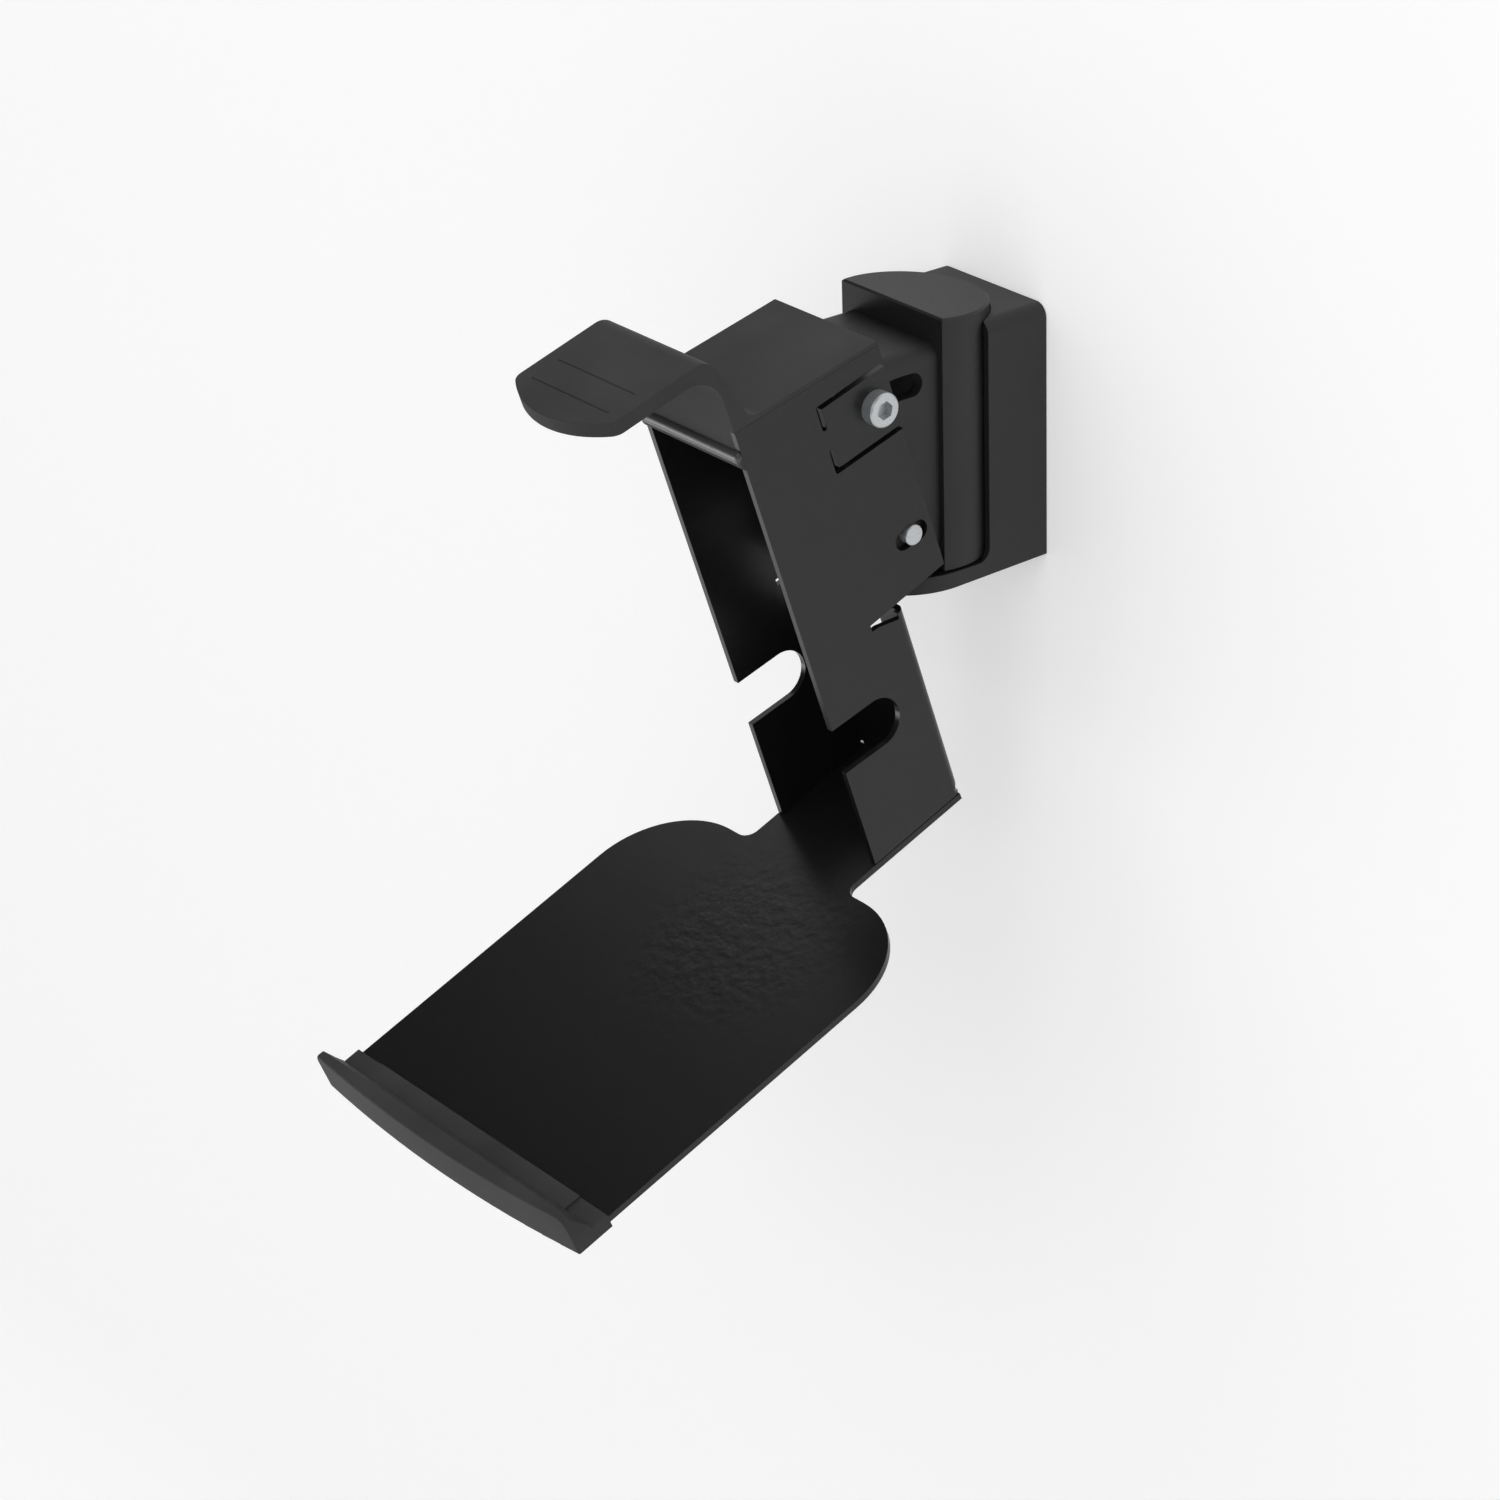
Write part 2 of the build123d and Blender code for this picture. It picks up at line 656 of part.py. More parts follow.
# Top cap: rim on the cheeks, plug and apron between them, bead, riser and thumb rest
with BuildPart() as top_cap:
    with BuildSketch(across) as cap_profile:
        with BuildLine():
            Polyline(
                (0, cheek_height),
                (cheek_depth, cheek_height - cheek_top_fall),
                (cheek_depth, cheek_height - cheek_top_fall + cap_rim),
                (riser_foot, cheek_height + cap_rim),
                (riser_foot - riser_lean, thumb_top),
                (-thumb_reach, thumb_top),
                (-thumb_reach, thumb_underside),
                (0, thumb_underside),
                close=True,
            )
        make_face()
        for corner_place, corner_radius in (
            ((riser_foot, cheek_height + cap_rim), riser_foot_radius),
            ((riser_foot - riser_lean, thumb_top), riser_crown_radius),
            ((0, thumb_underside), thumb_root_radius),
        ):
            fillet(cap_profile.vertices().sort_by_distance(corner_place)[0], corner_radius)
    extrude(amount=half_channel, both=True)
    # Rounded front of the thumb rest, as one arc between filleted corners
    thumb_corner_reach = thumb_reach - thumb_bow
    with BuildSketch(bracket) as thumb_plan:
        with BuildLine():
            Polyline(
                (-half_channel, -thumb_corner_reach),
                (-half_channel, cheek_depth + through),
                (half_channel, cheek_depth + through),
                (half_channel, -thumb_corner_reach),
            )
            ThreePointArc(
                (half_channel, -thumb_corner_reach),
                (0, -thumb_reach),
                (-half_channel, -thumb_corner_reach),
            )
        make_face()
        fillet(thumb_plan.vertices().group_by(Axis.Y)[0], thumb_corner_radius)
    extrude(amount=2 * cheek_height, mode=Mode.INTERSECT)
    # Plug between the cheeks, hollow from below
    plug_half_width = inner_half_channel - seat_gap
    with BuildSketch(across):
        with BuildLine():
            Polyline(
                (0, cap_plug_underside),
                (0, cheek_height),
                (cap_plug_rear, cheek_height - cheek_top_fall * cap_plug_rear / cheek_depth),
                (cap_plug_rear, cap_plug_underside),
                close=True,
            )
        make_face()
    extrude(amount=plug_half_width, both=True)
    with BuildSketch(bracket.offset(cap_plug_underside)):
        with Locations((0, (cap_plug_rear - cap_wall + cap_apron_depth) / 2)):
            Rectangle(2 * (plug_half_width - cap_wall), cap_plug_rear - cap_wall - cap_apron_depth)
    extrude(amount=cheek_height - cheek_top_fall - cap_plug_underside, mode=Mode.SUBTRACT)
    # Apron and the rounded bead below it
    with BuildSketch(across):
        with Locations((0, bead_bottom)):
            Rectangle(cap_apron_depth, cheek_height - bead_bottom, align=Align.MIN)
    extrude(amount=plug_half_width, both=True)
    with BuildSketch(across):
        with BuildLine():
            ThreePointArc((0, bead_bottom), (-bead_proud, (bead_bottom + bead_top) / 2), (0, bead_top))
            Line((0, bead_top), (0, bead_bottom))
        make_face()
    extrude(amount=half_channel, both=True)
    # Two engraved lines across the thumb rest
    with BuildSketch(bracket.offset(thumb_top)):
        with Locations(*[(0, -place) for place in thumb_line_places]):
            Rectangle(thumb_line_length, thumb_line_width)
    extrude(amount=-thumb_line_depth, mode=Mode.SUBTRACT)


# Lip cap: a bulged front wall on the tray's edge, with a pad behind it
lip_half_width = tray_width / 2 + lip_overhang
lip_foot = -sheet - lip_leaf

with BuildPart() as lip_cap:
    with BuildSketch(tray.offset(lip_foot)):
        with BuildLine():
            Polyline(
                (-lip_half_width, -lip_front),
                (-lip_half_width, -lip_pad_rear),
                (lip_half_width, -lip_pad_rear),
                (lip_half_width, -lip_front),
            )
            ThreePointArc(
                (lip_half_width, -lip_front),
                (0, -lip_front - lip_bulge),
                (-lip_half_width, -lip_front),
            )
        make_face()
    extrude(amount=lip_height - lip_foot)
    bulged_edges = lip_cap.edges().filter_by(GeomType.CIRCLE)
    fillet(bulged_edges, lip_edge)
    # Sloped inner face of the wall, over the raised strip
    with BuildSketch(side_of(tray)):
        with BuildLine():
            Polyline(
                (-lip_wall_crest, lip_height + through),
                (-lip_wall_crest, lip_height),
                (-lip_wall_foot, lip_strip_rise),
                (-lip_pad_rear + through, lip_strip_rise),
                (-lip_pad_rear + through, lip_height + through),
                close=True,
            )
        make_face()
    extrude(amount=lip_half_width, both=True, mode=Mode.SUBTRACT)
    # Lower end blocks beside the strip
    with BuildSketch(tray.offset(lip_end_rise)):
        for side in (-1, 1):
            with Locations((side * (lip_strip_width / 2 + lip_half_width) / 2, -lip_wall_foot)):
                Rectangle(
                    lip_half_width - lip_strip_width / 2,
                    lip_wall_foot - lip_pad_rear + through,
                    align=(Align.CENTER, Align.MIN),
                )
    extrude(amount=lip_strip_rise, mode=Mode.SUBTRACT)
    # Slot that takes the tray's front edge
    with BuildSketch(tray):
        with Locations((0, -tray_front - seat_gap)):
            Rectangle(tray_width + 2 * seat_gap, lip_front, align=(Align.CENTER, Align.MIN))
    extrude(amount=-sheet, mode=Mode.SUBTRACT)


# Clamp screws through the tabs and the arm's arc slots, with washers and nuts inside
clamp_sets = {}
for side_name, side in (("left", -1), ("right", 1)):
    clamp_spot = (clamp_from_front, clamp_height)
    clamp_seat = Plane(
        origin=side_of(bracket, side * half_channel).from_local_coords(clamp_spot),
        x_dir=bracket.y_dir,
        z_dir=bracket.x_dir * side,
    )
    washer_depth = half_channel - arm_inner_half_width + running_gap
    nut_depth = washer_depth + clamp_washer_thickness
    clamp_sets[f"clamp_screw_{side_name}"] = socket_screw(
        clamp_seat,
        clamp_size,
        clamp_head_radius,
        clamp_head_height,
        nut_depth + clamp_nut_thickness + clamp_past_nut,
    )
    with BuildPart() as clamp_washer:
        with BuildSketch(clamp_seat.offset(-washer_depth)):
            Circle(clamp_washer_radius)
            Circle(clamp_size / 2 + shaft_gap, mode=Mode.SUBTRACT)
        extrude(amount=-clamp_washer_thickness)
    clamp_sets[f"clamp_washer_{side_name}"] = clamp_washer.part
    with BuildPart() as clamp_nut:
        with BuildSketch(clamp_seat.offset(-nut_depth)):
            RegularPolygon(clamp_nut_width / 2, 6, major_radius=False)
            Circle(clamp_size / 2, mode=Mode.SUBTRACT)
        extrude(amount=-clamp_nut_thickness)
    clamp_sets[f"clamp_nut_{side_name}"] = clamp_nut.part


# One file for each piece
pieces = {
    "wall_plate": wall_plate.part,
    "wall_housing": wall_housing.part,
    "plate_screw_left": plate_screws[0],
    "plate_screw_right": plate_screws[1],
    "swivel_bolt": swivel_bolt,
    "swivel_bolt_washer": swivel_washer.part,
    "swivel_drum": swivel_drum.part,
    "tilt_arm": tilt_arm.part,
    **arm_screws,
    "pivot_pin": pivot_pin.part,
    "bracket_plate": bracket_plate.part,
    "top_cap": top_cap.part,
    "lip_cap": lip_cap.part,
    **clamp_sets,
}

os.makedirs("parts", exist_ok=True)
for piece_name, piece in pieces.items():
    piece.label = piece_name
    export_step(piece, f"parts/{piece_name}.step")
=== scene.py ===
import json
import math

import bmesh
import bpy
import numpy as np
from mathutils import Matrix, Vector


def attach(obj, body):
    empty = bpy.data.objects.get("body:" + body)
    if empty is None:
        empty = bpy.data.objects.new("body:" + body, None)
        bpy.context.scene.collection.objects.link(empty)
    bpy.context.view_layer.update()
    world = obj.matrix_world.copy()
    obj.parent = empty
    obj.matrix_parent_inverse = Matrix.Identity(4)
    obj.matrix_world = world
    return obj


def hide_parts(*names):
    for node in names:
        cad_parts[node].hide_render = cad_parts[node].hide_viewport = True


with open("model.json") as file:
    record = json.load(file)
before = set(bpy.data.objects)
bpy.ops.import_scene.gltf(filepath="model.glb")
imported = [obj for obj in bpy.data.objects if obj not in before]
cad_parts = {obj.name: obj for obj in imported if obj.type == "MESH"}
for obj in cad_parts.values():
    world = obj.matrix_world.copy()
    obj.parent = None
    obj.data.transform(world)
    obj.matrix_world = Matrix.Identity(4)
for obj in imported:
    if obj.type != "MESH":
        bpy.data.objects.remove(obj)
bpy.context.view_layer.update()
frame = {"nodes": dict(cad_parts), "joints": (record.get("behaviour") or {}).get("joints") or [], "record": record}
nodes = frame["nodes"]

# Wall and floor behind the bracket
# A smooth white wall that the housing is screwed to. Well below the picture it turns
# into a wide floor in one sweep, and it is clear from behind, so the back can be seen.
WALL_GAP = 0.0003
WALL_TOP = 0.8
WALL_LEFT = -0.75
WALL_RIGHT = 1.6
FLOOR_REACH = 3.0
FLOOR_DROP = 0.9
SWEEP_RADIUS = 0.3
SWEEP_STEPS = 24
WALL_COLOUR = 0.76
WALL_GLOW = 0.33


def wall_sweep():
    """Straight wall, quarter circle and straight floor, carried along X as one sheet that
    widens smoothly from the wall's sides to the floor's as it turns."""
    turn = np.linspace(0, math.pi / 2, SWEEP_STEPS)
    curve_y = WALL_GAP - SWEEP_RADIUS * (1 - np.cos(turn))
    curve_z = -FLOOR_DROP + SWEEP_RADIUS * (1 - np.sin(turn))
    profile_y = np.concatenate(([WALL_GAP], curve_y, [-FLOOR_REACH]))
    profile_z = np.concatenate(([WALL_TOP], curve_z, [-FLOOR_DROP]))
    widening = np.concatenate(([0], np.sin(turn) ** 2, [1]))
    left = WALL_LEFT + widening * (-FLOOR_REACH - WALL_LEFT)
    right = WALL_RIGHT + widening * (FLOOR_REACH - WALL_RIGHT)
    rows = profile_y.size
    sheet_x = np.column_stack((left, right)).ravel()
    points = np.column_stack((sheet_x, np.repeat(profile_y, 2), np.repeat(profile_z, 2)))
    first = 2 * np.arange(rows - 1)
    faces = np.column_stack((first, first + 2, first + 3, first + 1))
    return points, faces


wall_points, wall_faces = wall_sweep()
wall_mesh = bpy.data.meshes.new("white_wall")
wall_mesh.from_pydata(wall_points.tolist(), [], wall_faces.tolist())
wall_mesh.shade_smooth()
white_wall = bpy.data.objects.new("white_wall", wall_mesh)
bpy.context.scene.collection.objects.link(white_wall)

wall_paint = bpy.data.materials.new("wall_paint")
wall_paint.use_nodes = True
tree = wall_paint.node_tree
tree.nodes.clear()
paint = tree.nodes.new("ShaderNodeBsdfDiffuse")
paint.inputs["Color"].default_value = (WALL_COLOUR, WALL_COLOUR, WALL_COLOUR, 1)
glow = tree.nodes.new("ShaderNodeEmission")
glow.inputs["Color"].default_value = (1, 1, 1, 1)
rays = tree.nodes.new("ShaderNodeLightPath")
seen = tree.nodes.new("ShaderNodeMath")
seen.operation = "MAXIMUM"
seen_through = tree.nodes.new("ShaderNodeMath")
seen_through.operation = "MAXIMUM"
seen_strength = tree.nodes.new("ShaderNodeMath")
seen_strength.operation = "MULTIPLY"
seen_strength.inputs[1].default_value = WALL_GLOW
lit_paint = tree.nodes.new("ShaderNodeAddShader")
side = tree.nodes.new("ShaderNodeNewGeometry")
clear = tree.nodes.new("ShaderNodeBsdfTransparent")
front_or_back = tree.nodes.new("ShaderNodeMixShader")
surface = tree.nodes.new("ShaderNodeOutputMaterial")
tree.links.new(rays.outputs["Is Camera Ray"], seen.inputs[0])
tree.links.new(rays.outputs["Is Glossy Ray"], seen.inputs[1])
tree.links.new(seen.outputs[0], seen_through.inputs[0])
tree.links.new(rays.outputs["Is Transmission Ray"], seen_through.inputs[1])
tree.links.new(seen_through.outputs[0], seen_strength.inputs[0])
tree.links.new(seen_strength.outputs[0], glow.inputs["Strength"])
tree.links.new(paint.outputs[0], lit_paint.inputs[0])
tree.links.new(glow.outputs[0], lit_paint.inputs[1])
tree.links.new(side.outputs["Backfacing"], front_or_back.inputs[0])
tree.links.new(lit_paint.outputs[0], front_or_back.inputs[1])
tree.links.new(clear.outputs[0], front_or_back.inputs[2])
tree.links.new(front_or_back.outputs[0], surface.inputs["Surface"])
wall_mesh.materials.append(wall_paint)


# Wall plate, screws, swivel bolt, pin, washers and nuts
# Bent and turned steel with a bright zinc plating, which is a little uneven in gloss. The
# plate holds the swivel bolt behind the housing. The rest fastens the arm and the clamp.
ZINC_COLOUR = (0.64, 0.665, 0.68)
ZINC_DULL = 0.82
ZINC_METAL = 0.8
ZINC_TONES = (0.35, 0.65)
ZINC_GLOSS_SPREAD = 0.3
MARK_DETAIL = 4.0
MARK_STRENGTH = 0.25
MARK_DEPTH = 0.00003
PLATE_ROUGHNESS = 0.38
PLATE_MARK_SIZE = 1 / 900
HARDWARE_ROUGHNESS = 0.42
HARDWARE_MARK_SIZE = 1 / 2200


def zinc_plating(name, roughness, mark_size):
    """Bright zinc: metal with fine noise in its tone, its roughness and a shallow bump."""
    material = bpy.data.materials.new(name)
    material.use_nodes = True
    tree = material.node_tree
    shader = tree.nodes["Principled BSDF"]
    shader.inputs["Metallic"].default_value = ZINC_METAL
    place = tree.nodes.new("ShaderNodeTexCoord")
    marks = tree.nodes.new("ShaderNodeTexNoise")
    marks.inputs["Scale"].default_value = 1 / mark_size
    marks.inputs["Detail"].default_value = MARK_DETAIL
    tone = tree.nodes.new("ShaderNodeValToRGB")
    tone.color_ramp.elements[0].position = ZINC_TONES[0]
    tone.color_ramp.elements[0].color = (*[ZINC_DULL * c for c in ZINC_COLOUR], 1)
    tone.color_ramp.elements[1].position = ZINC_TONES[1]
    tone.color_ramp.elements[1].color = (*ZINC_COLOUR, 1)
    gloss = tree.nodes.new("ShaderNodeMapRange")
    gloss.inputs["To Min"].default_value = roughness * (1 - ZINC_GLOSS_SPREAD)
    gloss.inputs["To Max"].default_value = roughness * (1 + ZINC_GLOSS_SPREAD)
    bump = tree.nodes.new("ShaderNodeBump")
    bump.inputs["Strength"].default_value = MARK_STRENGTH
    bump.inputs["Distance"].default_value = MARK_DEPTH
    tree.links.new(place.outputs["Object"], marks.inputs["Vector"])
    tree.links.new(marks.outputs["Fac"], tone.inputs["Fac"])
    tree.links.new(marks.outputs["Fac"], gloss.inputs["Value"])
    tree.links.new(marks.outputs["Fac"], bump.inputs["Height"])
    tree.links.new(tone.outputs["Color"], shader.inputs["Base Color"])
    tree.links.new(gloss.outputs["Result"], shader.inputs["Roughness"])
    tree.links.new(bump.outputs["Normal"], shader.inputs["Normal"])
    return material


def finish_node(name, material):
    """Give a carried-over piece its material."""
    mesh = nodes[name].data
    mesh.materials.clear()
    mesh.materials.append(material)


plated_plate = zinc_plating("plated_plate", PLATE_ROUGHNESS, PLATE_MARK_SIZE)
plated_hardware = zinc_plating("plated_hardware", HARDWARE_ROUGHNESS, HARDWARE_MARK_SIZE)
finish_node("wall_plate", plated_plate)
for name in (
    "plate_screw_left",
    "plate_screw_right",
    "swivel_bolt",
    "swivel_bolt_washer",
    "arm_screw_left",
    "arm_screw_right",
    "arm_screw_upper",
    "pivot_pin",
    "clamp_screw_left",
    "clamp_screw_right",
    "clamp_washer_left",
    "clamp_washer_right",
    "clamp_nut_left",
    "clamp_nut_right",
):
    finish_node(name, plated_hardware)


# Wall housing, swivel drum, tilt arm, top cap and lip cap
# Black mouldings with soft edges and a fine spark-eroded grain, so they look matt. The
# housing, the drum and the arm are a little darker than the caps, which are pushed on.
HOUSING_COLOUR = (0.011, 0.011, 0.0112)
HOUSING_SHINE = 0.5
HOUSING_ROUGHNESS = 0.55
HOUSING_GRAIN = 0.0006
CAP_COLOUR = (0.045, 0.045, 0.0463)
CAP_SHINE = 0.15
CAP_ROUGHNESS = 0.6
CAP_GRAIN = 0.0005
GRAIN_DEPTH = 0.00004
GRAIN_STRENGTH = 0.5
GRAIN_DETAIL = 3.0
GRAIN_GLOSS_SPREAD = 0.06
DRIFT_SCALE = 35.0
DRIFT_DETAIL = 2.0
DRIFT_TONES = (0.3, 0.7)
DRIFT_DARK = 0.85
DRIFT_LIGHT = 1.12
MERGE_DISTANCE = 0.0000005
FLAT_ANGLE = math.radians(0.3)
EDGE_ANGLE = math.radians(35)
EDGE_STEPS = 3
MOULDED_EDGE = 0.0005
SHELF_FALL = 0.0012
SHELF_FRONT = -0.0563
LIP_PITCH = math.radians(22.0)
LIP_CORNER = 0.0032
LIP_CORNER_CUTS = 8
LIP_FIRST_CUT = 0.01
LIP_CREST_BAND = 0.0012


def moulded_black(name, colour, shine, roughness, grain_size, grain_depth):
    """Matt black moulding: fine noise grain as bump, and a slow drift in its tone."""
    material = bpy.data.materials.new(name)
    material.use_nodes = True
    tree = material.node_tree
    shader = tree.nodes["Principled BSDF"]
    shader.inputs["Specular IOR Level"].default_value = shine
    place = tree.nodes.new("ShaderNodeTexCoord")
    grain = tree.nodes.new("ShaderNodeTexNoise")
    grain.inputs["Scale"].default_value = 1 / grain_size
    grain.inputs["Detail"].default_value = GRAIN_DETAIL
    drift = tree.nodes.new("ShaderNodeTexNoise")
    drift.inputs["Scale"].default_value = DRIFT_SCALE
    drift.inputs["Detail"].default_value = DRIFT_DETAIL
    tone = tree.nodes.new("ShaderNodeValToRGB")
    tone.color_ramp.elements[0].position = DRIFT_TONES[0]
    tone.color_ramp.elements[0].color = (*[DRIFT_DARK * c for c in colour], 1)
    tone.color_ramp.elements[1].position = DRIFT_TONES[1]
    tone.color_ramp.elements[1].color = (*[DRIFT_LIGHT * c for c in colour], 1)
    gloss = tree.nodes.new("ShaderNodeMapRange")
    gloss.inputs["To Min"].default_value = roughness - GRAIN_GLOSS_SPREAD
    gloss.inputs["To Max"].default_value = roughness + GRAIN_GLOSS_SPREAD
    bump = tree.nodes.new("ShaderNodeBump")
    bump.inputs["Strength"].default_value = GRAIN_STRENGTH
    bump.inputs["Distance"].default_value = grain_depth
    tree.links.new(place.outputs["Object"], grain.inputs["Vector"])
    tree.links.new(place.outputs["Object"], drift.inputs["Vector"])
    tree.links.new(drift.outputs["Fac"], tone.inputs["Fac"])
    tree.links.new(grain.outputs["Fac"], gloss.inputs["Value"])
    tree.links.new(grain.outputs["Fac"], bump.inputs["Height"])
    tree.links.new(tone.outputs["Color"], shader.inputs["Base Color"])
    tree.links.new(gloss.outputs["Result"], shader.inputs["Roughness"])
    tree.links.new(bump.outputs["Normal"], shader.inputs["Normal"])
    return material


def merged_mesh(name, cuts=()):
    """Merged copy of a carried-over piece, with the triangles of each flat face joined and
    a ring of points round it at each cut, given as a place along X."""
    form = bmesh.new()
    form.from_mesh(nodes[name].data)
    bmesh.ops.remove_doubles(form, verts=form.verts, dist=MERGE_DISTANCE)
    bmesh.ops.dissolve_limit(form, angle_limit=FLAT_ANGLE, verts=form.verts, edges=form.edges)
    for cut in cuts:
        geometry = form.verts[:] + form.edges[:] + form.faces[:]
        bmesh.ops.bisect_plane(
            form, geom=geometry, plane_co=(cut, 0, 0), plane_no=(1, 0, 0), dist=MERGE_DISTANCE
        )
    mesh = bpy.data.meshes.new(f"{name}_edged")
    form.to_mesh(mesh)
    form.free()
    return mesh


def points_of(mesh):
    """Places of all points of a mesh, one row each."""
    flat = np.empty(3 * len(mesh.vertices))
    mesh.vertices.foreach_get("co", flat)
    return flat.reshape(-1, 3)


def move_points(mesh, points):
    """Give all points of a mesh their new places."""
    mesh.vertices.foreach_set("co", points.ravel())
    mesh.update()


def body_of(name):
    """Body that holds a carried-over piece."""
    bodies = frame["record"]["behaviour"]["bodies"]
    return next(body for body, held in bodies.items() if name in held)


def edged_piece(name, mesh, edge, material):
    """Piece that stands for a carried-over one, with its sharp edges rounded to a width."""
    mesh.shade_smooth()
    mesh.materials.append(material)
    piece = bpy.data.objects.new(f"{name}_edged", mesh)
    bpy.context.scene.collection.objects.link(piece)
    rounding = piece.modifiers.new("rounding", "BEVEL")
    rounding.width = edge
    rounding.segments = EDGE_STEPS
    rounding.limit_method = "ANGLE"
    rounding.angle_limit = EDGE_ANGLE
    shading = piece.modifiers.new("shading", "WEIGHTED_NORMAL")
    shading.keep_sharp = False
    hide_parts(name)
    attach(piece, body_of(name))


housing_black = moulded_black(
    "housing_black", HOUSING_COLOUR, HOUSING_SHINE, HOUSING_ROUGHNESS, HOUSING_GRAIN, GRAIN_DEPTH
)
cap_black = moulded_black("cap_black", CAP_COLOUR, CAP_SHINE, CAP_ROUGHNESS, CAP_GRAIN, GRAIN_DEPTH)

# The housing's underside falls evenly from the wall to the shelf's front
housing_mesh = merged_mesh("wall_housing")
housing_points = points_of(housing_mesh)
at_foot = housing_points[:, 2] < housing_points[:, 2].min() + MERGE_DISTANCE
fall = SHELF_FALL * np.clip(housing_points[:, 1] / SHELF_FRONT, 0, 1)
housing_points[:, 2] -= np.where(at_foot, fall, 0)
move_points(housing_mesh, housing_points)
edged_piece("wall_housing", housing_mesh, MOULDED_EDGE, housing_black)
edged_piece("swivel_drum", merged_mesh("swivel_drum"), MOULDED_EDGE, housing_black)
edged_piece("tilt_arm", merged_mesh("tilt_arm"), MOULDED_EDGE, housing_black)
edged_piece("top_cap", merged_mesh("top_cap"), MOULDED_EDGE, cap_black)

# The lip's wall has round upper corners at its two ends: past the start of a corner, the
# crest drops as a quarter circle does
lip_up = np.array((0, -math.sin(LIP_PITCH), math.cos(LIP_PITCH)))
lip_end = points_of(nodes["lip_cap"].data)[:, 0].max()
corner_cuts = lip_end - LIP_CORNER * np.linspace(LIP_FIRST_CUT, 1.0, LIP_CORNER_CUTS) ** 2
lip_mesh = merged_mesh("lip_cap", np.column_stack((-corner_cuts, corner_cuts)).ravel())
lip_points = points_of(lip_mesh)
lip_rise = lip_points @ lip_up
past = np.maximum(np.abs(lip_points[:, 0]) - (lip_end - LIP_CORNER), 0)
drop = LIP_CORNER - np.sqrt(np.maximum(LIP_CORNER**2 - past**2, 0))
on_crest = lip_rise > lip_rise.max() - LIP_CREST_BAND
move_points(lip_mesh, lip_points - np.outer(np.where(on_crest, drop, 0), lip_up))
edged_piece("lip_cap", lip_mesh, MOULDED_EDGE, cap_black)


# Bead
# A glossy half-round bead across the front of the cap's apron, from cheek to cheek. It is
# moulded with the cap, and its two ends are rounded off.
BRACKET_TILT = math.radians(17.5)
BEAD_AHEAD_OF_PIN = 0.0442
BEAD_ABOVE_PIN = 0.0541
BEAD_HALF_LENGTH = 0.02245
BEAD_HALF_HEIGHT = 0.0023
BEAD_PROUD = 0.0016
BEAD_END = 0.0012
BEAD_END_SIZE = 0.01
BEAD_RINGS = 48
BEAD_SPOTS = 24
BEAD_COLOUR = (0.05, 0.05, 0.051)
BEAD_SHINE = 0.7
BEAD_ROUGHNESS = 0.34
BEAD_GRAIN = 0.0008
BEAD_GRAIN_DEPTH = 0.00001


def half_round_bar():
    """Closed bar along X. Its section is an ellipse, half height times sine up and depth
    times cosine ahead, and near each end the section shrinks as a quarter circle does."""
    along = np.linspace(-1, 1, BEAD_RINGS)
    spread = np.sin(along * math.pi / 2)
    x = BEAD_HALF_LENGTH * spread
    past = np.clip((np.abs(x) - (BEAD_HALF_LENGTH - BEAD_END)) / BEAD_END, 0, 1)
    size = np.sqrt(np.maximum(1 - past**2, BEAD_END_SIZE**2))
    turn = np.linspace(0, 2 * math.pi, BEAD_SPOTS, endpoint=False)
    ahead = BEAD_PROUD * np.outer(size, np.cos(turn))
    up = BEAD_HALF_HEIGHT * np.outer(size, np.sin(turn))
    points = np.column_stack((np.repeat(x, BEAD_SPOTS), -ahead.ravel(), up.ravel()))
    ring, spot = np.meshgrid(np.arange(BEAD_RINGS - 1), np.arange(BEAD_SPOTS), indexing="ij")
    first = (ring * BEAD_SPOTS + spot).ravel()
    beside = (ring * BEAD_SPOTS + (spot + 1) % BEAD_SPOTS).ravel()
    faces = np.column_stack((first, beside, beside + BEAD_SPOTS, first + BEAD_SPOTS)).tolist()
    faces.append(list(range(BEAD_SPOTS))[::-1])
    faces.append(list(range((BEAD_RINGS - 1) * BEAD_SPOTS, BEAD_RINGS * BEAD_SPOTS)))
    return points, faces


pin_place = Vector(next(joint["pos_m"] for joint in frame["joints"] if joint["name"] == "tilt"))
bracket_turn = Matrix.Rotation(BRACKET_TILT, 3, "X")
bead_place = pin_place + bracket_turn @ Vector((0, -BEAD_AHEAD_OF_PIN, BEAD_ABOVE_PIN))
bead_points, bead_faces = half_round_bar()
bead_points = bead_points @ np.array(bracket_turn.transposed()) + np.array(bead_place)
bead_mesh = bpy.data.meshes.new("cap_bead")
bead_mesh.from_pydata(bead_points.tolist(), [], bead_faces)
bead_mesh.shade_smooth()
bead_gloss = moulded_black(
    "bead_gloss", BEAD_COLOUR, BEAD_SHINE, BEAD_ROUGHNESS, BEAD_GRAIN, BEAD_GRAIN_DEPTH
)
bead_mesh.materials.append(bead_gloss)
cap_bead = bpy.data.objects.new("cap_bead", bead_mesh)
bpy.context.scene.collection.objects.link(cap_bead)
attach(cap_bead, body_of("top_cap"))


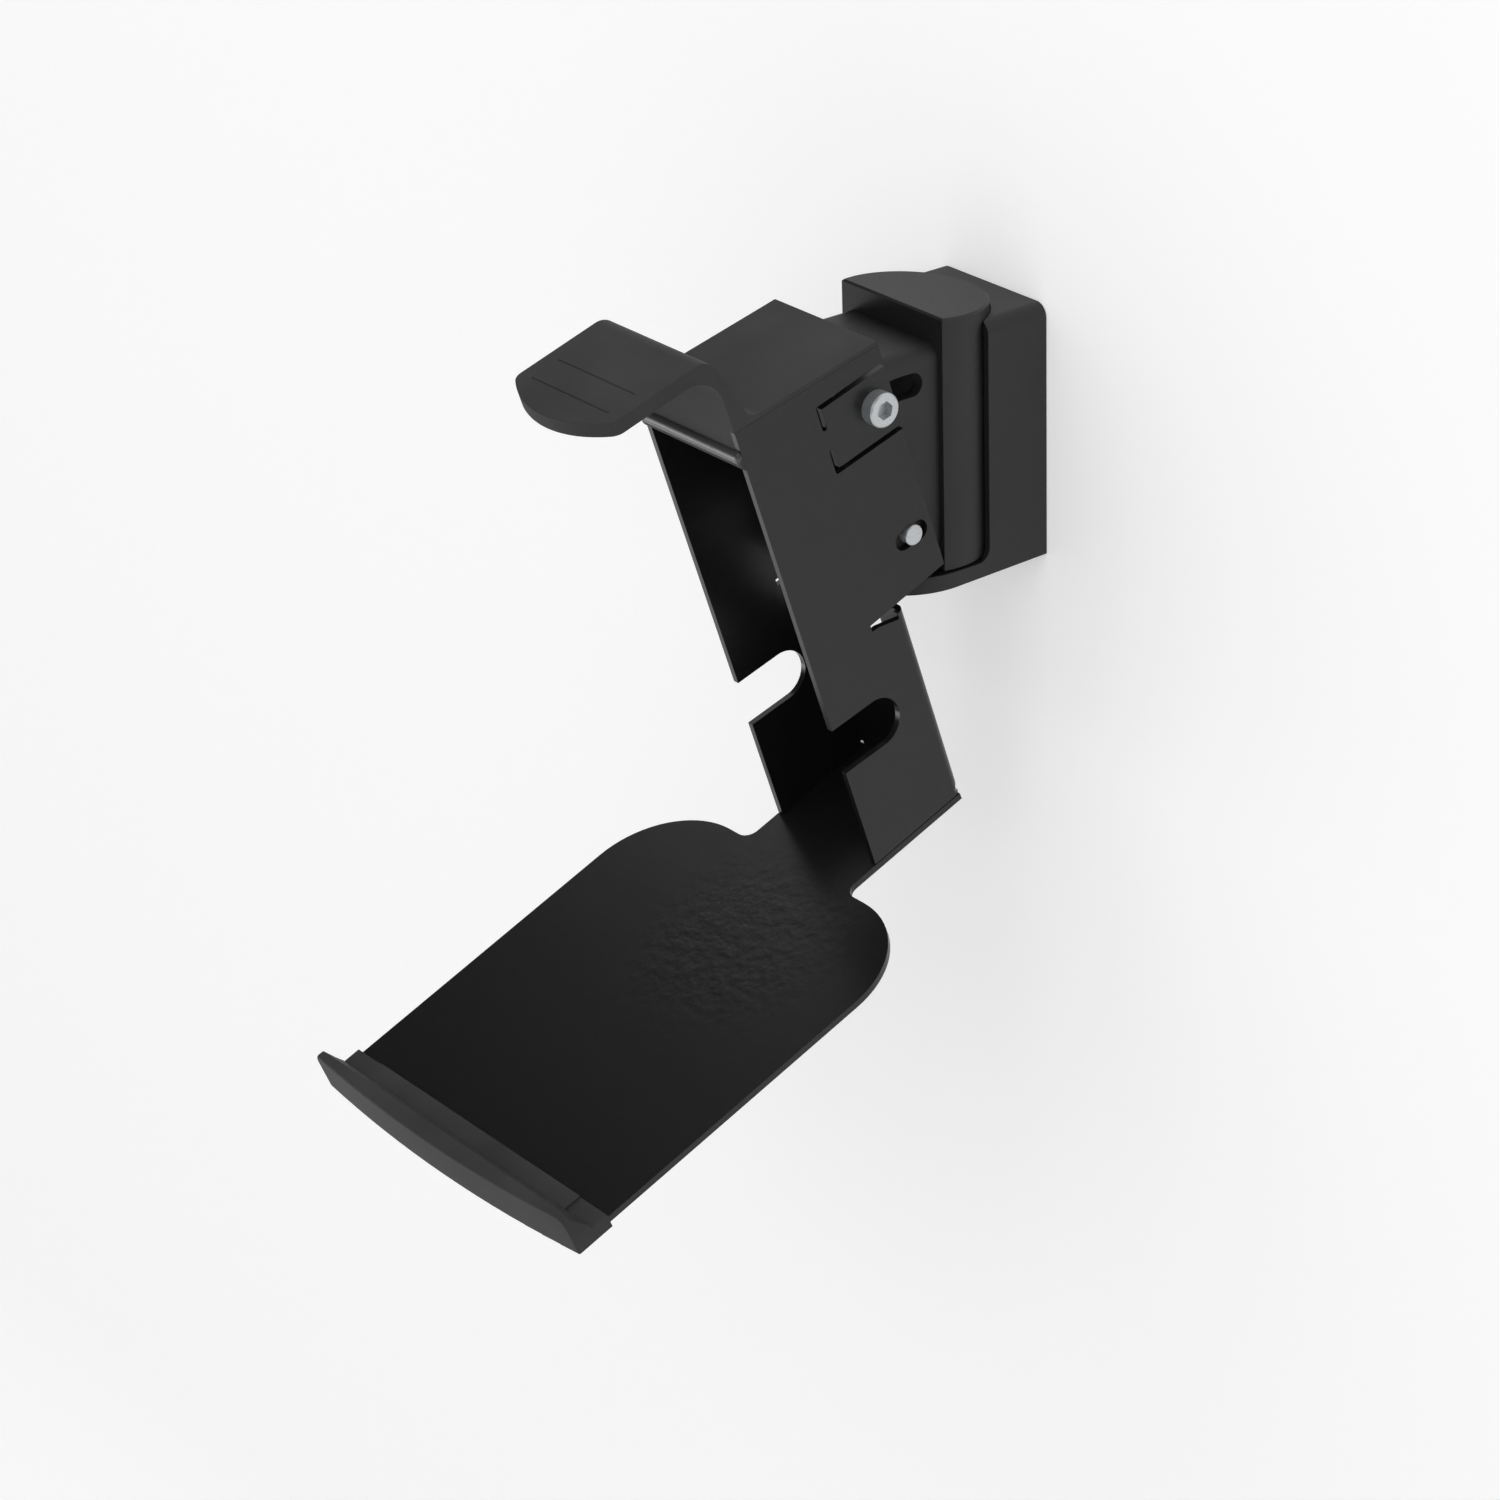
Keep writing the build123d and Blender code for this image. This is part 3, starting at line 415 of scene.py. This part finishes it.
# Folded plate
# Steel sheet, cut and folded, under a satin black powder coat. The coat lies smooth on the
# cheeks and shows a shallow orange peel that is strongest in a round patch on the tray.
COAT_COLOUR = (0.008, 0.008, 0.0082)
COAT_SHINE = 0.4
COAT_GLOSS = (0.25, 0.35)
COAT_TONES = (0.3, 0.7)
COAT_DARK = 0.85
COAT_LIGHT = 1.15
DUST_SIZE = 0.0004
PEEL_SIZE = 0.0035
PEEL_DETAIL = 2.5
PEEL_DEPTH = 0.00015
PEEL_CENTRE = (0.0103, -0.1035, -0.1325)
PEEL_FULL = 0.016
PEEL_END = 0.042
PEEL_ELSEWHERE = 0.15
PLATE_EDGE = 0.0003

powder_coat = bpy.data.materials.new("powder_coat")
powder_coat.use_nodes = True
tree = powder_coat.node_tree
shader = tree.nodes["Principled BSDF"]
shader.inputs["Specular IOR Level"].default_value = COAT_SHINE
place = tree.nodes.new("ShaderNodeTexCoord")
peel = tree.nodes.new("ShaderNodeTexNoise")
peel.inputs["Scale"].default_value = 1 / PEEL_SIZE
peel.inputs["Detail"].default_value = PEEL_DETAIL
dust = tree.nodes.new("ShaderNodeTexNoise")
dust.inputs["Scale"].default_value = 1 / DUST_SIZE
tone = tree.nodes.new("ShaderNodeValToRGB")
tone.color_ramp.elements[0].position = COAT_TONES[0]
tone.color_ramp.elements[0].color = (*[COAT_DARK * c for c in COAT_COLOUR], 1)
tone.color_ramp.elements[1].position = COAT_TONES[1]
tone.color_ramp.elements[1].color = (*[COAT_LIGHT * c for c in COAT_COLOUR], 1)
gloss = tree.nodes.new("ShaderNodeMapRange")
gloss.inputs["To Min"].default_value = COAT_GLOSS[0]
gloss.inputs["To Max"].default_value = COAT_GLOSS[1]
from_centre = tree.nodes.new("ShaderNodeVectorMath")
from_centre.operation = "DISTANCE"
from_centre.inputs[1].default_value = PEEL_CENTRE
fading = tree.nodes.new("ShaderNodeMapRange")
fading.interpolation_type = "SMOOTHSTEP"
fading.inputs["From Min"].default_value = PEEL_FULL
fading.inputs["From Max"].default_value = PEEL_END
fading.inputs["To Min"].default_value = 1.0
fading.inputs["To Max"].default_value = PEEL_ELSEWHERE
bump = tree.nodes.new("ShaderNodeBump")
bump.inputs["Distance"].default_value = PEEL_DEPTH
tree.links.new(place.outputs["Object"], peel.inputs["Vector"])
tree.links.new(place.outputs["Object"], dust.inputs["Vector"])
tree.links.new(place.outputs["Object"], from_centre.inputs[0])
tree.links.new(from_centre.outputs["Value"], fading.inputs["Value"])
tree.links.new(fading.outputs["Result"], bump.inputs["Strength"])
tree.links.new(dust.outputs["Fac"], tone.inputs["Fac"])
tree.links.new(dust.outputs["Fac"], gloss.inputs["Value"])
tree.links.new(tone.outputs["Color"], shader.inputs["Base Color"])
tree.links.new(gloss.outputs["Result"], shader.inputs["Roughness"])
tree.links.new(peel.outputs["Fac"], bump.inputs["Height"])
tree.links.new(bump.outputs["Normal"], shader.inputs["Normal"])
edged_piece("bracket_plate", merged_mesh("bracket_plate"), PLATE_EDGE, powder_coat)


# Light
# Two large soft panels above, and a small one low on the left that only reflections show.
# A broad even light all round gives the soft shade on the wall, and glossy faces reflect a
# dim room.
LIGHT_TARGET = (0.0, -0.09, -0.04)
ROOM_LIGHT = 0.95
ROOM_SEEN = 0.95
ROOM_REFLECTED = 0.04


def soft_panel(name, place, width, height, power):
    """Rectangular soft light at a place, turned to face the bracket."""
    lamp = bpy.data.lights.new(name, "AREA")
    lamp.shape = "RECTANGLE"
    lamp.size = width
    lamp.size_y = height
    lamp.energy = power
    panel = bpy.data.objects.new(name, lamp)
    panel.location = place
    aim = Vector(LIGHT_TARGET) - Vector(place)
    panel.rotation_euler = aim.to_track_quat("-Z", "Y").to_euler()
    bpy.context.scene.collection.objects.link(panel)
    return panel


soft_panel("front_panel", place=(1.2, -1.9, 1.2), width=1.6, height=1.6, power=9.0)
soft_panel("top_panel", place=(-0.3, -0.9, 1.9), width=1.4, height=1.0, power=3.0)
low_panel = soft_panel("low_panel", place=(-1.1, -0.75, -0.72), width=0.4, height=0.35, power=1.6)
low_panel.visible_diffuse = False

room = bpy.data.worlds.new("room")
bpy.context.scene.world = room
room.use_nodes = True
tree = room.node_tree
tree.nodes.clear()
rays = tree.nodes.new("ShaderNodeLightPath")
camera_mix = tree.nodes.new("ShaderNodeMix")
camera_mix.data_type = "FLOAT"
glossy_mix = tree.nodes.new("ShaderNodeMix")
glossy_mix.data_type = "FLOAT"
glossy_mix.inputs[2].default_value = ROOM_LIGHT
glossy_mix.inputs[3].default_value = ROOM_REFLECTED
camera_mix.inputs[3].default_value = ROOM_SEEN
sky = tree.nodes.new("ShaderNodeBackground")
world_out = tree.nodes.new("ShaderNodeOutputWorld")
tree.links.new(rays.outputs["Is Glossy Ray"], glossy_mix.inputs[0])
tree.links.new(rays.outputs["Is Camera Ray"], camera_mix.inputs[0])
tree.links.new(glossy_mix.outputs[0], camera_mix.inputs[2])
tree.links.new(camera_mix.outputs[0], sky.inputs["Strength"])
tree.links.new(sky.outputs[0], world_out.inputs["Surface"])


# Camera
# It stands in front, to the right and above, with a long lens and a slight roll. Its
# place and its three angles were worked out from the bracket's own edges.
CAMERA_PLACE = (0.9784, -0.8300, 0.5058)
CAMERA_AZIMUTH = math.radians(52.94)
CAMERA_ELEVATION = math.radians(25.53)
CAMERA_ROLL = math.radians(-1.79)
CAMERA_LENS = 115.2
CAMERA_SENSOR = 36.0

back = Vector(
    (
        math.sin(CAMERA_AZIMUTH) * math.cos(CAMERA_ELEVATION),
        -math.cos(CAMERA_AZIMUTH) * math.cos(CAMERA_ELEVATION),
        math.sin(CAMERA_ELEVATION),
    )
)
level = Vector((math.cos(CAMERA_AZIMUTH), math.sin(CAMERA_AZIMUTH), 0))
upright = back.cross(level)
right = math.cos(CAMERA_ROLL) * level + math.sin(CAMERA_ROLL) * upright
up = back.cross(right)
camera_data = bpy.data.cameras.new("camera")
camera_data.lens = CAMERA_LENS
camera_data.sensor_width = CAMERA_SENSOR
camera = bpy.data.objects.new("camera", camera_data)
camera_turn = Matrix((right, up, back)).transposed().to_4x4()
camera.matrix_world = Matrix.Translation(CAMERA_PLACE) @ camera_turn
bpy.context.scene.collection.objects.link(camera)
bpy.context.scene.camera = camera
bpy.context.scene.view_settings.view_transform = "Standard"
